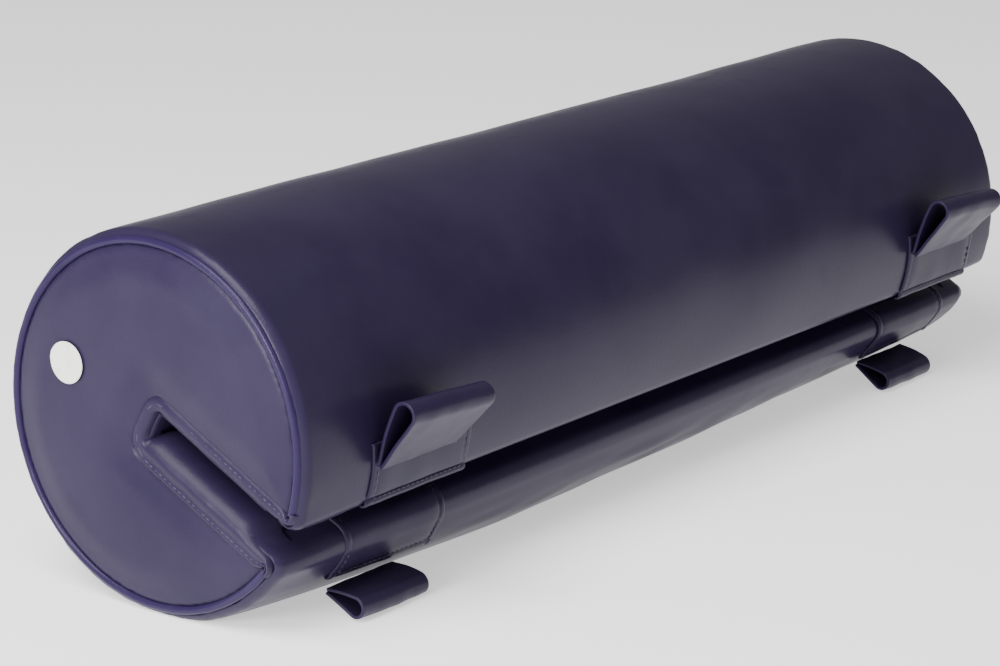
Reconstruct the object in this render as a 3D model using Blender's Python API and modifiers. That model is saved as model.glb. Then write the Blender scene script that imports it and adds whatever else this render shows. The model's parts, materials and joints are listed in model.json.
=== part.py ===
"""Slotted bolster pillow: a foam roll in a vinyl cover, with four sewn loops and a lengthwise zip.

The roll lies along X and rests on the flat of its underside at z = 0. Its slot opens to the front (-Y).
Positions across the roll are given along the slot (t, outwards) and across it (h, upper jaw positive).
"""
import math

import bmesh
import bpy
from mathutils import Matrix

# ---- driving dimensions, in metres -------------------------------------------------------------
ROLL_RADIUS = 0.100
ROLL_LENGTH = 0.680
REST_WIDTH = 0.040            # width of the flat that the roll rests on
SLOT_TILT = math.radians(28.4)  # the slot falls this much from the root to the mouth
SLOT_WIDTH = 0.018
SLOT_ROOT = 0.0               # distance of the slot's root from the roll's axis
LIP_RADIUS = 0.008
LIP_TURN_IN = 0.012           # how far the barrel panels reach into the slot past the lip
JAW_BULGE = 0.0085            # how far the lower jaw swells beyond the round
BULGE_FULL = math.radians(26)   # the swell is full from here, counted from the slot's middle,
BULGE_FADE = math.radians(38)   # to here,
BULGE_END = math.radians(72)    # and has gone by here
BULGE_SKEW = 0.643            # below 1 the swell is fullest nearer the left end

VINYL = 0.0012                # thickness of the covering
FIT = 0.0003                  # clearance between pieces that touch
RIM_RADIUS = 0.006            # rounding of the barrel panels at the roll's ends
RIM_TURN = math.radians(60)   # how far round that rounding the barrel panels go
WELT_RADIUS = 0.002
WELT_START = 0.0085           # from the lip's end round to the start of the piping
CAP_CROWN = 0.004             # swell of the end panels
CAP_RINGS = ((0.0, 0.0), (0.006, 0.5), (0.015, 0.8), (0.030, 1.0))  # distance in, share of the swell
CAP_STEPS = 56                # straight pieces that an end's round is made of
BINDING_WIDTH = 0.007         # stitched band along the slot's edges on the end panels

PATCH_WIDTH = 0.081
PATCH_INSET = {"left": 0.0945, "right": 0.073}  # middle of each pair of patches from its end of the roll
UPPER_PATCH_TOP = {"left": math.radians(27.0), "right": math.radians(30.5)}
LOWER_PATCH_HEM = math.radians(21.0)
UPPER_PATCH_START = 0.0192    # distance of a patch's first edge from the barrel panel's edge in the slot
LOWER_PATCH_START = 0.0048
LOOP_WIDTH = {"upper": 0.062, "lower": 0.054}
LOOP_SHIFT = {"upper": -0.009, "lower": -0.013}  # the loops are sewn left of the middle of their patches
LOOP_THICKNESS = 0.0018
LOOP_ROOT_RADIUS = 0.0022     # rounding at the loop's stitched end
LOOP_BULB_RADIUS = 0.0062
LOOP_HOLE_START = 0.34        # where the loop's sleeve opens, as a share of its reach
LOOP_HOLE_RADIUS = 0.0006     # rounding of the sleeve's narrow side
UPPER_LOOP_REACH = 0.034      # from the stitched line to the middle of the loop's bulb
LOWER_LOOP_REACH = 0.020
UPPER_LOOP_PHI = {"left": math.radians(20.4), "right": math.radians(24.0)}
UPPER_LOOP_ANGLE = math.radians(122.0)
LOWER_LOOP_GAP = 0.004        # from the lower patch's hem to the loop below it

BADGE_RADIUS = 0.011
BADGE_THICKNESS = 0.0008
BADGE_REACH = 0.0586          # middle of the badge from the roll's axis
BADGE_ANGLE = math.radians(25.3)

ZIP_ANGLE = math.radians(-25.0)
ZIP_MOUTH = 0.012             # distance between the folded edges of the barrel panels
TAPE_WIDTH = 0.014
TAPE_THICKNESS = 0.0008
COIL_WIDTH = 0.0028
COIL_HEIGHT = 0.0020
SLIDER_LENGTH = 0.012
SLIDER_WIDTH = 0.0085
SLIDER_WALL = 0.0010
PULL_LENGTH = 0.024
PULL_WIDTH = 0.0050
PULL_THICKNESS = 0.0012
STOP_LENGTH = 0.003
ZIP_END_MARGIN = 0.015        # bare tape past the coils, where the stops sit

# ---- derived sizes -----------------------------------------------------------------------------
HALF_LENGTH = ROLL_LENGTH / 2
AXIS_HEIGHT = math.sqrt(ROLL_RADIUS ** 2 - (REST_WIDTH / 2) ** 2)
HALF_SLOT = SLOT_WIDTH / 2
LIP_H = HALF_SLOT + LIP_RADIUS
LIP_T = math.sqrt((ROLL_RADIUS - LIP_RADIUS) ** 2 - LIP_H ** 2)
LIP_END = math.atan2(LIP_H, LIP_T)
SLOT_DIR = math.pi + SLOT_TILT
FOAM_INSET = VINYL + FIT
END_PLANE = HALF_LENGTH - CAP_CROWN
FOAM_HALF = END_PLANE - VINYL - FIT
RIM_INSET = RIM_RADIUS * (1 - math.cos(RIM_TURN))
RIM_EDGE = END_PLANE - WELT_RADIUS / 2
RIM_START = RIM_EDGE - RIM_RADIUS * math.sin(RIM_TURN)
WELT_FIT = VINYL / 2 + FIT      # the barrel panels' edges lean towards the piping
WELT_RING = ROLL_RADIUS - RIM_INSET - WELT_FIT - WELT_RADIUS
WELT_PLANE = END_PLANE - WELT_RADIUS / 2
FOAM_RADIUS = ROLL_RADIUS - FOAM_INSET
# the foam's edge is cut back at 45 degrees until it clears the piping
FOAM_CHAMFER = FOAM_RADIUS - WELT_RING + FOAM_HALF - WELT_PLANE + math.sqrt(2) * (WELT_RADIUS + FIT) + FIT
CAP_RADIUS = WELT_RING - WELT_RADIUS - FIT
ZIP_PHI = SLOT_DIR - ZIP_ANGLE
ZIP_EDGE = ZIP_MOUTH / 2 / ROLL_RADIUS
UNDERSIDE_PHI = 3 * math.pi / 2 - SLOT_DIR
REST_ANGLE = math.asin(REST_WIDTH / 2 / ROLL_RADIUS)
LINER_T = LIP_T - LIP_TURN_IN - FIT

NAVY = (0.030, 0.025, 0.075, 1.0)
DARK_NAVY = (0.020, 0.017, 0.050, 1.0)
FOAM_CREAM = (0.80, 0.74, 0.55, 1.0)
OFF_WHITE = (0.80, 0.80, 0.74, 1.0)
BLACK = (0.015, 0.015, 0.018, 1.0)
NICKEL = (0.60, 0.60, 0.62, 1.0)


# ---- scene helpers -----------------------------------------------------------------------------
def clear_scene():
    for obj in list(bpy.data.objects):
        bpy.data.objects.remove(obj, do_unlink=True)


def new_collection(name):
    collection = bpy.data.collections.new(name)
    bpy.context.scene.collection.children.link(collection)
    return collection


def new_material(name, color, roughness, metallic=0.0):
    material = bpy.data.materials.new(name)
    material.use_nodes = True
    shader = material.node_tree.nodes["Principled BSDF"]
    shader.inputs["Base Color"].default_value = color
    shader.inputs["Roughness"].default_value = roughness
    shader.inputs["Metallic"].default_value = metallic
    return material


def add_object(name, bm, material, collection):
    """Turns a bmesh into a named object with smooth faces and one material."""
    mesh = bpy.data.meshes.new(name)
    bm.to_mesh(mesh)
    bm.free()
    mesh.shade_smooth()
    mesh.set_sharp_from_angle(angle=math.radians(35))
    obj = bpy.data.objects.new(name, mesh)
    obj.data.materials.append(material)
    collection.objects.link(obj)
    return obj


def add_wall(obj, thickness):
    """Gives an open skin its thickness, inwards from the outer face."""
    wall = obj.modifiers.new("wall", "SOLIDIFY")
    wall.thickness = thickness
    wall.offset = -1
    wall.use_even_offset = True


def add_cut(obj, cutter, operation="DIFFERENCE"):
    cut = obj.modifiers.new("cut_" + cutter.name, "BOOLEAN")
    cut.object = cutter
    cut.operation = operation


def as_cutter(obj):
    obj.hide_render = True
    obj.display_type = "WIRE"


# ---- the roll's section ------------------------------------------------------------------------
def to_world(t, h):
    """Section coordinates, along and across the slot, to y and z."""
    y = t * math.cos(SLOT_DIR) + h * math.sin(SLOT_DIR)
    z = AXIS_HEIGHT + t * math.sin(SLOT_DIR) - h * math.cos(SLOT_DIR)
    return y, z


def smooth_step(value):
    value = min(max(value, 0.0), 1.0)
    return value * value * (3 - 2 * value)


def bulge_along(x):
    """Share of the lower jaw's swell along the roll: none at the ends, most nearer the left."""
    along = min(max(x / ROLL_LENGTH + 0.5, 0.0), 1.0)
    return math.sin(math.pi * along ** BULGE_SKEW)


def jaw_bulge(x, phi):
    """Swell of the lower jaw beyond the round, phi counted downwards from the slot's middle."""
    rise = smooth_step(phi / BULGE_FULL)
    fall = 1 - smooth_step((phi - BULGE_FADE) / (BULGE_END - BULGE_FADE))
    return JAW_BULGE * bulge_along(x) * rise * fall


def skin_point(side, along):
    """Point, outward normal and angle on the cover, by the distance from the panel's edge in the slot.

    side is 1 on the upper jaw and -1 on the lower jaw.
    """
    lip_arc = LIP_RADIUS * (LIP_END + math.pi / 2)
    if along < LIP_TURN_IN:
        t, h, normal = LIP_T - LIP_TURN_IN + along, HALF_SLOT, -math.pi / 2
    elif along < LIP_TURN_IN + lip_arc:
        normal = -math.pi / 2 + (along - LIP_TURN_IN) / LIP_RADIUS
        t = LIP_T + LIP_RADIUS * math.cos(normal)
        h = LIP_H + LIP_RADIUS * math.sin(normal)
    else:
        normal = LIP_END + (along - LIP_TURN_IN - lip_arc) / ROLL_RADIUS
        t, h = ROLL_RADIUS * math.cos(normal), ROLL_RADIUS * math.sin(normal)
    return t, side * h, side * normal


def skin_place(side, along, x, lift):
    """World position on the cover's outer face, lifted off it by a distance."""
    t, h, normal = skin_point(side, along)
    phi = math.atan2(abs(h), t) % (2 * math.pi)
    if side < 0:
        lift = lift + jaw_bulge(x, phi)
    y, z = to_world(t + lift * math.cos(normal), h + lift * math.sin(normal))
    return x, y, z


def along_at(phi):
    """Distance along a barrel panel at an angle from the slot's middle."""
    return LIP_TURN_IN + LIP_RADIUS * (LIP_END + math.pi / 2) + ROLL_RADIUS * (phi - LIP_END)


def spread(stops, steps):
    """Evenly spaced values through a list of stops, with a count of steps between each two."""
    values = [stops[0]]
    for low, high, count in zip(stops, stops[1:], steps):
        values += [low + (high - low) * (i + 1) / count for i in range(count)]
    return values


def bent_sheet(name, across, lengths, place, material, collection, flip=False):
    """A flat grid bent to a surface: one value in across and one in lengths for each grid line."""
    bm = bmesh.new()
    rows, columns = len(across) - 1, len(lengths) - 1
    bmesh.ops.create_grid(bm, x_segments=columns, y_segments=rows, size=0.5)
    for vert in bm.verts:
        column = round((vert.co.x + 0.5) * columns)
        row = round((vert.co.y + 0.5) * rows)
        vert.co = place(across[row], lengths[column])
    if flip:
        bmesh.ops.reverse_faces(bm, faces=bm.faces)
    return add_object(name, bm, material, collection)


def outline_solid(name, points, x_low, x_high, material, collection):
    """A flat outline in y and z, drawn out along X."""
    bm = bmesh.new()
    verts = [bm.verts.new((x_low, y, z)) for y, z in points]
    face = bm.faces.new(verts)
    grown = bmesh.ops.extrude_face_region(bm, geom=[face], use_keep_orig=True)
    moved = [item for item in grown["geom"] if isinstance(item, bmesh.types.BMVert)]
    bmesh.ops.translate(bm, verts=moved, vec=(x_high - x_low, 0, 0))
    bm.normal_update()
    bmesh.ops.recalc_face_normals(bm, faces=bm.faces)
    return add_object(name, bm, material, collection)


def arc_points(centre_t, centre_h, radius, start, end, count):
    """Points in t and h on an arc, both ends included."""
    angles = [start + (end - start) * i / count for i in range(count + 1)]
    return [(centre_t + radius * math.cos(a), centre_h + radius * math.sin(a)) for a in angles]


# ---- foam --------------------------------------------------------------------------------------
def barrel_angles(side):
    """Angles from the slot's middle where the barrel has its edges, from the lip to the zip."""
    if side > 0:
        return spread([LIP_END, ZIP_PHI - ZIP_EDGE], [36])
    zip_edge = 2 * math.pi - ZIP_PHI - ZIP_EDGE
    stops = [LIP_END, UNDERSIDE_PHI - REST_ANGLE, UNDERSIDE_PHI + REST_ANGLE, zip_edge]
    return spread(stops, [7, 4, 8])


def foam_outline(inset):
    """The foam's section drawn in from its face all round; a lip smaller than that comes to a corner."""
    lip = LIP_RADIUS - FOAM_INSET - inset
    radius = FOAM_RADIUS - inset
    root_t, root_h = SLOT_ROOT - FOAM_INSET - inset, HALF_SLOT + FOAM_INSET + inset
    upper = barrel_angles(1)[1:]
    if lip > FIT:
        jaw = arc_points(LIP_T, LIP_H, lip, -math.pi / 2, LIP_END, 5)
    else:
        corner = math.asin(root_h / radius)
        jaw = arc_points(0, 0, radius, corner, corner + 0.8 * (upper[0] - corner), 5)
    turns = upper + [2 * math.pi - phi for phi in reversed(barrel_angles(-1)[1:])]
    barrel = [(radius * math.cos(phi), radius * math.sin(phi)) for phi in turns]
    lower_jaw = [(t, -h) for t, h in reversed(jaw)]
    section = [(root_t, root_h)] + jaw + barrel + lower_jaw + [(root_t, -root_h)]
    return [(y, max(z, FOAM_INSET + inset)) for y, z in (to_world(t, h) for t, h in section)]


def make_foam(material, collection, cutters):
    """The foam core: the roll's section, a covering's thickness inside it, with a bed for the zip."""
    bm = bmesh.new()
    rings = []
    for x, inset in ((-FOAM_HALF, FOAM_CHAMFER), (-FOAM_HALF + FOAM_CHAMFER, 0.0),
                     (FOAM_HALF - FOAM_CHAMFER, 0.0), (FOAM_HALF, FOAM_CHAMFER)):
        corners = [bm.verts.new((x, y, z)) for y, z in foam_outline(inset)]
        rings.append([bm.edges.new(pair) for pair in zip(corners, corners[1:] + corners[:1])])
    for low, high in zip(rings, rings[1:]):
        bmesh.ops.bridge_loops(bm, edges=low + high)
    bmesh.ops.edgeloop_fill(bm, edges=rings[0] + rings[-1])
    bm.normal_update()
    bmesh.ops.recalc_face_normals(bm, faces=bm.faces)
    foam = add_object("foam_core", bm, material, collection)
    bed = box_on_zip("zip_bed", -HALF_LENGTH, HALF_LENGTH, -TAPE_WIDTH - 2 * FIT, TAPE_WIDTH + 2 * FIT,
                     tape_floor() - FIT, ROLL_RADIUS + VINYL, material, cutters)
    as_cutter(bed)
    add_cut(foam, bed)
    return foam


# ---- barrel panels -----------------------------------------------------------------------------
def rim_stations(middle):
    """Stations along the roll for a barrel panel, with its inset where it rolls over each rim."""
    turns = spread([0.0, RIM_TURN], [3])
    ends = [(RIM_START + RIM_RADIUS * math.sin(a), RIM_RADIUS * (1 - math.cos(a))) for a in turns]
    inner = [(-RIM_START + 2 * RIM_START * i / middle, 0.0) for i in range(1, middle)]
    return [(-x, inset) for x, inset in reversed(ends)] + inner + ends


def make_barrel_panel(name, side, middle, material, collection):
    """A vinyl panel from inside the slot, over the lip and round the barrel to the zip."""
    across = spread([0.0, LIP_TURN_IN, along_at(LIP_END)], [1, 6])[:-1]
    across += [along_at(phi) for phi in barrel_angles(side)]

    def place(along, station):
        x, inset = station
        x, y, z = skin_place(side, along, x, -inset)
        return x, y, max(z, 0.0)

    panel = bent_sheet(name, across, rim_stations(middle), place, material, collection, flip=side < 0)
    add_wall(panel, VINYL)
    return panel


# ---- slot lining -------------------------------------------------------------------------------
def slot_sheet(name, t_low, t_high, h_low, h_high, material, collection):
    corners = [(t_low, h_low), (t_high, h_low), (t_high, h_high), (t_low, h_high)]
    points = [to_world(t, h) for t, h in corners]
    return outline_solid(name, points, -FOAM_HALF, FOAM_HALF, material, collection)


def make_lining(material, collection):
    """The slot's two walls and the strip between them at the root."""
    back = HALF_SLOT + VINYL
    slot_sheet("slot_lining_upper", SLOT_ROOT, LINER_T, HALF_SLOT, back, material, collection)
    slot_sheet("slot_lining_lower", SLOT_ROOT, LINER_T, -back, -HALF_SLOT, material, collection)
    slot_sheet("slot_lining_root", SLOT_ROOT - VINYL, SLOT_ROOT, -HALF_SLOT + FIT, HALF_SLOT - FIT, material,
               collection)


# ---- ends --------------------------------------------------------------------------------------
def cap_outline(inset):
    """The end panel's outline, round with the slot cut out of it, moved in from its edge all round."""
    radius = CAP_RADIUS - inset
    notch = HALF_SLOT + BINDING_WIDTH + FIT + inset
    root = SLOT_ROOT - BINDING_WIDTH - FIT - inset
    edge = math.asin(notch / radius)
    rim = arc_points(0, 0, radius, edge, 2 * math.pi - edge, CAP_STEPS)
    return [to_world(t, h) for t, h in rim + [(root, -notch), (root, notch)]]


def make_end_panel(name, end, material, collection):
    """The vinyl end panel, swelling in rings from its stitched edge."""
    bm = bmesh.new()
    rings = []
    for inset, rise in CAP_RINGS:
        verts = [bm.verts.new((end * (END_PLANE + CAP_CROWN * rise), y, z)) for y, z in cap_outline(inset)]
        rings.append([bm.edges.new(pair) for pair in zip(verts, verts[1:] + verts[:1])])
    for outer, inner in zip(rings, rings[1:]):
        bmesh.ops.bridge_loops(bm, edges=outer + inner)
    bmesh.ops.edgeloop_fill(bm, edges=rings[-1])
    bm.normal_update()
    bmesh.ops.recalc_face_normals(bm, faces=bm.faces)
    if sum(face.normal.x * face.calc_area() for face in bm.faces) * end < 0:
        bmesh.ops.reverse_faces(bm, faces=bm.faces)
    panel = add_object(name, bm, material, collection)
    add_wall(panel, VINYL)
    return panel


def make_welt(name, end, material, collection):
    """The piping round the end, from lip to lip."""
    start = LIP_END + WELT_START / WELT_RING
    ring = arc_points(0, 0, WELT_RING, start, 2 * math.pi - start, CAP_STEPS)
    curve = bpy.data.curves.new(name, "CURVE")
    curve.dimensions = "3D"
    curve.bevel_depth = WELT_RADIUS
    curve.bevel_resolution = 2
    curve.use_fill_caps = True
    spline = curve.splines.new("POLY")
    spline.points.add(len(ring) - 1)
    for point, (t, h) in zip(spline.points, ring):
        y, z = to_world(t, h)
        point.co = (end * WELT_PLANE, y, z, 1)
    obj = bpy.data.objects.new(name, curve)
    curve.materials.append(material)
    collection.objects.link(obj)
    return obj


def make_binding(name, end, material, collection):
    """The stitched band along the slot's edges, in one U round its root."""
    inner, outer = HALF_SLOT, HALF_SLOT + BINDING_WIDTH
    root_in, root_out = SLOT_ROOT, SLOT_ROOT - BINDING_WIDTH
    corners = [(LINER_T, inner), (LINER_T, outer), (root_out, outer), (root_out, -outer), (LINER_T, -outer),
               (LINER_T, -inner), (root_in, -inner), (root_in, inner)]
    points = [to_world(t, h) for t, h in corners]
    face_x = end * END_PLANE
    back_x = end * (END_PLANE - VINYL)
    return outline_solid(name, points, min(face_x, back_x), max(face_x, back_x), material, collection)


def make_badge(material, collection):
    """A plain round badge stuck on the left end panel."""
    face = -HALF_LENGTH - FIT
    y = BADGE_REACH * math.cos(BADGE_ANGLE)
    z = AXIS_HEIGHT + BADGE_REACH * math.sin(BADGE_ANGLE)
    bm = bmesh.new()
    bmesh.ops.create_cone(bm, cap_ends=True, segments=32, radius1=BADGE_RADIUS, radius2=BADGE_RADIUS,
                          depth=BADGE_THICKNESS)
    badge = add_object("end_badge", bm, material, collection)
    badge.rotation_euler = (0, math.pi / 2, 0)
    badge.location = (face - BADGE_THICKNESS / 2, y, z)
    return badge


# ---- straps ------------------------------------------------------------------------------------
def make_patch(name, side, centre_x, along_low, along_high, material, collection):
    """The vinyl patch that a loop is sewn to, lying on the cover over the lip."""
    width_stops = [centre_x - PATCH_WIDTH / 2, centre_x + PATCH_WIDTH / 2]
    across = spread([along_low, along_high], [16])
    lift = FIT + VINYL

    def place(along, x):
        return skin_place(side, along, x, lift)

    patch = bent_sheet(name, across, spread(width_stops, [6]), place, material, collection, flip=side < 0)
    add_wall(patch, VINYL)
    return patch


def loop_outline(reach, bulb, root):
    """A drop in its own plane: a small round at the origin and a bulb at the reach, joined by tangents."""
    lean = math.asin((bulb - root) / reach)
    side = math.pi / 2 + lean
    bulb_arc = arc_points(reach, 0, bulb, -side, side, 16)
    root_arc = arc_points(0, 0, root, side, 2 * math.pi - side, 6)
    return bulb_arc + root_arc


def make_loop(name, pivot, angle, reach, centre_x, width, material, collection):
    """A sewn loop: a drop-shaped sleeve along X, turned about its stitched line."""
    outer = loop_outline(reach, LOOP_BULB_RADIUS, LOOP_ROOT_RADIUS)
    hole_start = reach * LOOP_HOLE_START
    hole = loop_outline(reach - hole_start, LOOP_BULB_RADIUS - LOOP_THICKNESS, LOOP_HOLE_RADIUS)
    hole = [(along + hole_start, up) for along, up in hole]
    curve = bpy.data.curves.new(name, "CURVE")
    curve.dimensions = "2D"
    curve.fill_mode = "BOTH"
    curve.extrude = width / 2
    for outline in (outer, hole):
        spline = curve.splines.new("POLY")
        spline.points.add(len(outline) - 1)
        for point, (along, up) in zip(spline.points, outline):
            point.co = (along, up, 0, 1)
        spline.use_cyclic_u = True
    loop = bpy.data.objects.new(name, curve)
    curve.materials.append(material)
    collection.objects.link(loop)
    loop.rotation_mode = "QUATERNION"
    loop.rotation_quaternion = section_turn(angle)
    loop.location = (centre_x, pivot[0], pivot[1])
    return loop


def section_turn(angle):
    """Turns a drawing in x and y into one in y and z, then by an angle about X."""
    turned = Matrix(((0, 0, 1), (1, 0, 0), (0, 1, 0)))
    return (Matrix.Rotation(angle, 3, "X") @ turned).to_quaternion()


def surface_pivot(side, phi, centre_x, width, lift):
    """Where a loop's stitched line clears the cover over the loop's whole width."""
    stations = spread([centre_x - width / 2, centre_x + width / 2], [4])
    fullest = max(stations, key=bulge_along)
    _, y, z = skin_place(side, along_at(phi), fullest, lift)
    return y, z


def make_straps(patch_material, loop_material, collection):
    """A patch and a loop on each jaw at each end."""
    lower_loop_phi = LOWER_PATCH_HEM + LOWER_LOOP_GAP / ROLL_RADIUS
    for end_name, end in (("left", -1), ("right", 1)):
        centre = end * (HALF_LENGTH - PATCH_INSET[end_name])
        make_patch("patch_upper_" + end_name, 1, centre, UPPER_PATCH_START,
                   along_at(UPPER_PATCH_TOP[end_name]), patch_material, collection)
        make_patch("patch_lower_" + end_name, -1, centre, LOWER_PATCH_START, along_at(LOWER_PATCH_HEM),
                   patch_material, collection)
        middle, width = centre + LOOP_SHIFT["upper"], LOOP_WIDTH["upper"]
        lift = 2 * FIT + VINYL + LOOP_ROOT_RADIUS
        pivot = surface_pivot(1, UPPER_LOOP_PHI[end_name], middle, width, lift)
        make_loop("loop_upper_" + end_name, pivot, UPPER_LOOP_ANGLE, UPPER_LOOP_REACH, middle, width,
                  loop_material, collection)
        middle, width = centre + LOOP_SHIFT["lower"], LOOP_WIDTH["lower"]
        pivot = surface_pivot(-1, lower_loop_phi, middle, width, 2 * FIT + LOOP_ROOT_RADIUS)
        # the lower loops droop until their bulbs lie on the surface that the roll rests on
        droop = math.asin((pivot[1] - LOOP_BULB_RADIUS - FIT) / LOWER_LOOP_REACH)
        make_loop("loop_lower_" + end_name, pivot, math.pi + droop, LOWER_LOOP_REACH, middle, width,
                  loop_material, collection)


# ---- zip ---------------------------------------------------------------------------------------
def tape_top():
    """Distance of the tapes' outer face from the roll's axis, clear under the panels at their edges."""
    inner = ROLL_RADIUS - VINYL
    return math.sqrt(inner ** 2 - TAPE_WIDTH ** 2) - FIT


def tape_floor():
    return tape_top() - TAPE_THICKNESS


def box_on_zip(name, x_low, x_high, across_low, across_high, out_low, out_high, material, collection):
    """A box on the zip: across is along the roll's skin, out is away from its axis."""
    bm = bmesh.new()
    bmesh.ops.create_cube(bm, size=1.0)
    for vert in bm.verts:
        x = x_high if vert.co.x > 0 else x_low
        across = across_high if vert.co.y > 0 else across_low
        out = out_high if vert.co.z > 0 else out_low
        y = out * math.cos(ZIP_ANGLE) - across * math.sin(ZIP_ANGLE)
        z = AXIS_HEIGHT + out * math.sin(ZIP_ANGLE) + across * math.cos(ZIP_ANGLE)
        vert.co = (x, y, z)
    bm.normal_update()
    bmesh.ops.recalc_face_normals(bm, faces=bm.faces)
    return add_object(name, bm, material, collection)


def make_zip(tape_material, coil_material, metal, collection, cutters):
    """Two tapes with their coils, a stop at each end, and the slider with its pull."""
    half = RIM_START
    coil_half = half - ZIP_END_MARGIN
    top = tape_top()
    for side_name, side in (("upper", 1), ("lower", -1)):
        low, high = sorted((side * FIT / 2, side * TAPE_WIDTH))
        box_on_zip("zip_tape_" + side_name, -half, half, low, high, top - TAPE_THICKNESS, top,
                   tape_material, collection)
        low, high = sorted((side * FIT / 2, side * COIL_WIDTH))
        box_on_zip("zip_coil_" + side_name, -coil_half, coil_half, low, high, top + FIT,
                   top + FIT + COIL_HEIGHT, coil_material, collection)
    for end_name, end in (("left", -1), ("right", 1)):
        near, far = sorted((end * (coil_half + FIT), end * (coil_half + FIT + STOP_LENGTH)))
        box_on_zip("zip_stop_" + end_name, near, far, -COIL_WIDTH, COIL_WIDTH, top + FIT,
                   top + 2 * FIT + COIL_HEIGHT, metal, collection)
    slider_low = -coil_half + FIT
    slider_top = top + 2 * FIT + COIL_HEIGHT + SLIDER_WALL
    slider = box_on_zip("zip_slider", slider_low, slider_low + SLIDER_LENGTH, -SLIDER_WIDTH / 2,
                        SLIDER_WIDTH / 2, top + FIT, slider_top, metal, collection)
    channel = box_on_zip("slider_channel", slider_low - SLIDER_LENGTH, slider_low + 2 * SLIDER_LENGTH,
                         -COIL_WIDTH - FIT, COIL_WIDTH + FIT, top, slider_top - SLIDER_WALL, metal, cutters)
    as_cutter(channel)
    add_cut(slider, channel)
    pull_low = slider_low + SLIDER_LENGTH / 2
    box_on_zip("zip_pull", pull_low, pull_low + PULL_LENGTH, -PULL_WIDTH / 2, PULL_WIDTH / 2,
               slider_top + FIT, slider_top + FIT + PULL_THICKNESS, metal, collection)


def main():
    clear_scene()
    parts = new_collection("bolster_pillow")
    cutters = new_collection("cutters")
    foam = new_material("foam", FOAM_CREAM, 0.9)
    vinyl = new_material("vinyl", NAVY, 0.38)
    lining = new_material("lining_vinyl", NAVY, 0.42)
    piping = new_material("piping_vinyl", DARK_NAVY, 0.35)
    strap = new_material("strap_vinyl", NAVY, 0.36)
    badge = new_material("badge", OFF_WHITE, 0.4)
    tape = new_material("zip_tape", BLACK, 0.85)
    coil = new_material("zip_coil", BLACK, 0.5)
    metal = new_material("zip_metal", NICKEL, 0.35, 1.0)

    make_foam(foam, parts, cutters)
    make_barrel_panel("barrel_panel_upper", 1, 1, vinyl, parts)
    make_barrel_panel("barrel_panel_lower", -1, 18, vinyl, parts)
    make_lining(lining, parts)
    for end_name, end in (("left", -1), ("right", 1)):
        make_end_panel("end_panel_" + end_name, end, vinyl, parts)
        make_welt("end_welt_" + end_name, end, piping, parts)
        make_binding("slot_binding_" + end_name, end, lining, parts)
    make_badge(badge, parts)
    make_straps(vinyl, strap, parts)
    make_zip(tape, coil, metal, parts, cutters)


main()
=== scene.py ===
# %% [markdown]
# # A slotted bolster pillow
# The pillow is a firm foam roll in a zipped vinyl cover. A slot runs along it so that it can be pushed
# onto the edge of a board, and strap loops are sewn to both jaws of the slot. The frame that is loaded
# first holds every part at its real size; this script gives each one its looks: soft skins, seams,
# stitches and finishes.

# %% Load the frame
import json
import math

import bmesh
import bpy
from mathutils import Matrix, Vector, noise


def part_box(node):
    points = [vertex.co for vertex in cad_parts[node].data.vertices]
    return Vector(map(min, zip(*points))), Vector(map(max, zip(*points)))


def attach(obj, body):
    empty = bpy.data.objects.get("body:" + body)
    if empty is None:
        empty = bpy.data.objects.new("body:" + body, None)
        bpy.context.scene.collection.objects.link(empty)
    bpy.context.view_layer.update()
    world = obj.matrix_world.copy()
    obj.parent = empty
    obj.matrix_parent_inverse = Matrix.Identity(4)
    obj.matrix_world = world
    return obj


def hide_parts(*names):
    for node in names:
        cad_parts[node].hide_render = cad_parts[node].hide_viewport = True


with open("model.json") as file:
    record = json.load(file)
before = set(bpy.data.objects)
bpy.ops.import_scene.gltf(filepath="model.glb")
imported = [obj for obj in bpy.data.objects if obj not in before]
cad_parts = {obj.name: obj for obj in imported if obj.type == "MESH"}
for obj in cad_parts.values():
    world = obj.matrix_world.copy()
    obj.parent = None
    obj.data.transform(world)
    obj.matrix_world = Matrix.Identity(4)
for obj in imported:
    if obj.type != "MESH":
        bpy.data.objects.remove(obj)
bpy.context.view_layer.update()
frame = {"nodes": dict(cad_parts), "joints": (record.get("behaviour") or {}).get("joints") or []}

print("parts in the frame:", len(frame["nodes"]))

# %% [markdown]
# ## The roll's section
# Everything on the roll is placed from one section: t runs out along the slot from the roll's axis and
# h runs across the slot, upper jaw positive. Working in t and h keeps the sums simple, and one function
# turns them into the frame's y and z.

# %% Sizes and the section's own axes
ROLL_RADIUS = 0.100
HALF_LENGTH = 0.340
HALF_SLOT = 0.009
LIP_RADIUS = 0.008
LIP_TURN_IN = 0.012
AXIS_HEIGHT = math.sqrt(ROLL_RADIUS ** 2 - 0.020 ** 2)
SLOT_DIR = math.radians(208.4)
LIP_H = HALF_SLOT + LIP_RADIUS
LIP_T = math.sqrt((ROLL_RADIUS - LIP_RADIUS) ** 2 - LIP_H ** 2)
LIP_END = math.atan2(LIP_H, LIP_T)
LIP_ARC = LIP_RADIUS * (LIP_END + math.pi / 2)
END_PLANE = HALF_LENGTH - 0.004
GAP = 0.0003                    # left between two pieces that touch
VINYL = 0.0012                  # the cover's sheet


def to_world(t, h):
    y = t * math.cos(SLOT_DIR) + h * math.sin(SLOT_DIR)
    z = AXIS_HEIGHT + t * math.sin(SLOT_DIR) - h * math.cos(SLOT_DIR)
    return y, z


def smooth(value):
    value = min(max(value, 0.0), 1.0)
    return value * value * (3 - 2 * value)


def grain(x, y, z, size, seed=0.0):
    """Smooth noise from -1 to 1 with lumps of about that size."""
    return noise.noise(Vector((x / size + seed, y / size - seed, z / size + 2 * seed)))


print("lip at t", round(LIP_T, 4), "and axis at", round(AXIS_HEIGHT, 4))

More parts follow.
